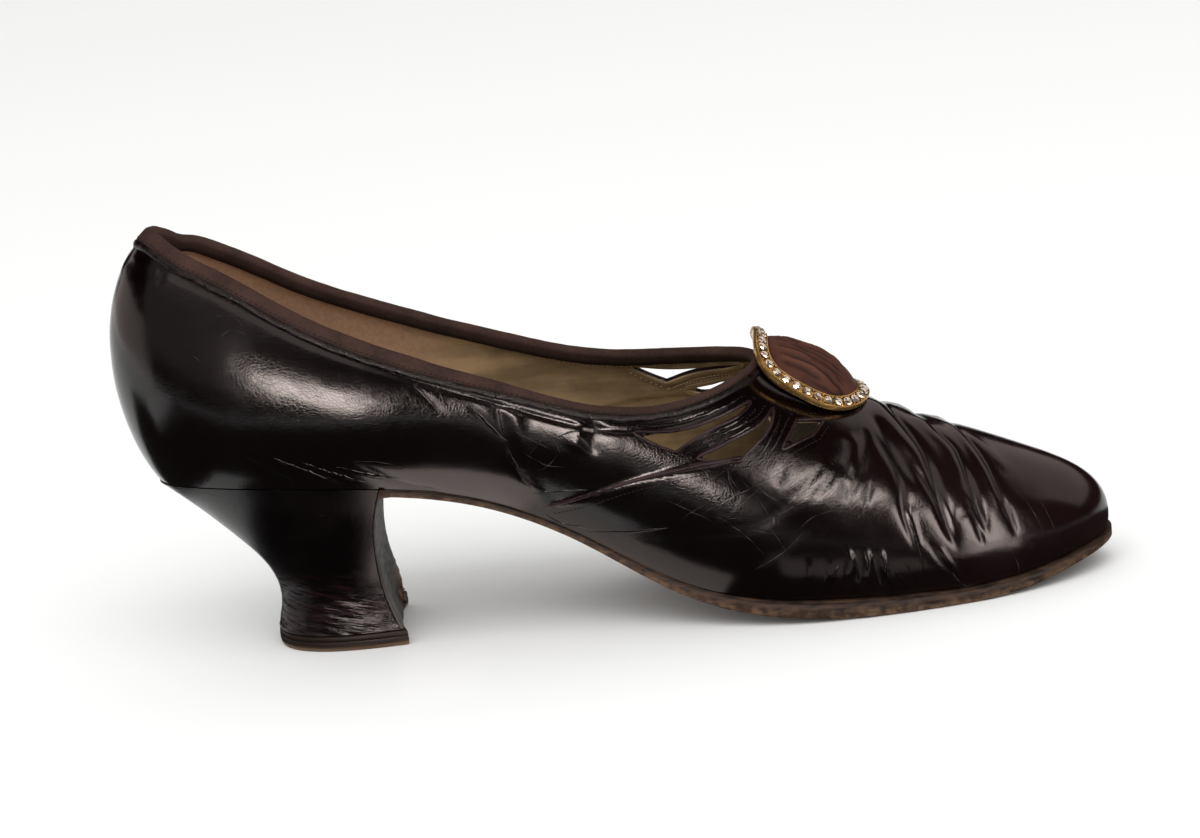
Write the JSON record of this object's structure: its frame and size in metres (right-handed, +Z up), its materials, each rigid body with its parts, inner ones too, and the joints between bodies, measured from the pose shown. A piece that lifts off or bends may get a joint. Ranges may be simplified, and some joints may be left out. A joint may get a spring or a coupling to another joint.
{
  "type": "court shoe with buckle",
  "caption": "Lady's leather court shoe with cut-outs beside the throat, a ribbon-bound collar, a paste-set buckle over puffed silk, a leather sole and a curved, covered heel.",
  "frame": {"origin": "middle of the shoe's length and width, on the floor it stands on", "axes": "+X towards the toe, +Y towards the outer side of the left foot, +Z up"},
  "size_m": [0.2499, 0.0702, 0.1113],
  "materials": {
    "upper_leather": "glossy fine-grained kid, black-brown with an oxblood tint, creased by wear",
    "sole_leather": "worn brown sole leather with a raw edge",
    "heel_cover": "glossy kid stretched over the heel block",
    "top_piece_leather": "dark stacked leather, raw at the bottom edge",
    "insole_leather": "matt olive-tan sock leather",
    "binding_ribbon": "mauve-brown grosgrain ribbon, stitched",
    "gilt_metal": "gilt metal, slightly tarnished",
    "brown_silk": "ruched brown silk",
    "paste_stone": "clear faceted paste"
  },
  "bodies": {
    "root": {"upper": "upper_leather", "outsole": "sole_leather", "heel": "heel_cover", "top_piece": "top_piece_leather", "insole": "insole_leather", "collar_binding": "binding_ribbon", "buckle_frame": "gilt_metal", "ribbon_pad": "brown_silk", "stone_01": "paste_stone", "stone_02": "paste_stone", "stone_03": "paste_stone", "stone_04": "paste_stone", "stone_05": "paste_stone", "stone_06": "paste_stone", "stone_07": "paste_stone", "stone_08": "paste_stone", "stone_09": "paste_stone", "stone_10": "paste_stone", "stone_11": "paste_stone", "stone_12": "paste_stone", "stone_13": "paste_stone", "stone_14": "paste_stone", "stone_15": "paste_stone", "stone_16": "paste_stone", "stone_17": "paste_stone", "stone_18": "paste_stone", "stone_19": "paste_stone", "stone_20": "paste_stone", "stone_21": "paste_stone", "stone_22": "paste_stone", "stone_23": "paste_stone", "stone_24": "paste_stone", "stone_25": "paste_stone", "stone_26": "paste_stone", "stone_27": "paste_stone", "stone_28": "paste_stone", "stone_29": "paste_stone", "stone_30": "paste_stone", "stone_31": "paste_stone", "stone_32": "paste_stone", "stone_33": "paste_stone", "stone_34": "paste_stone", "stone_35": "paste_stone"}
  },
  "joints": []
}
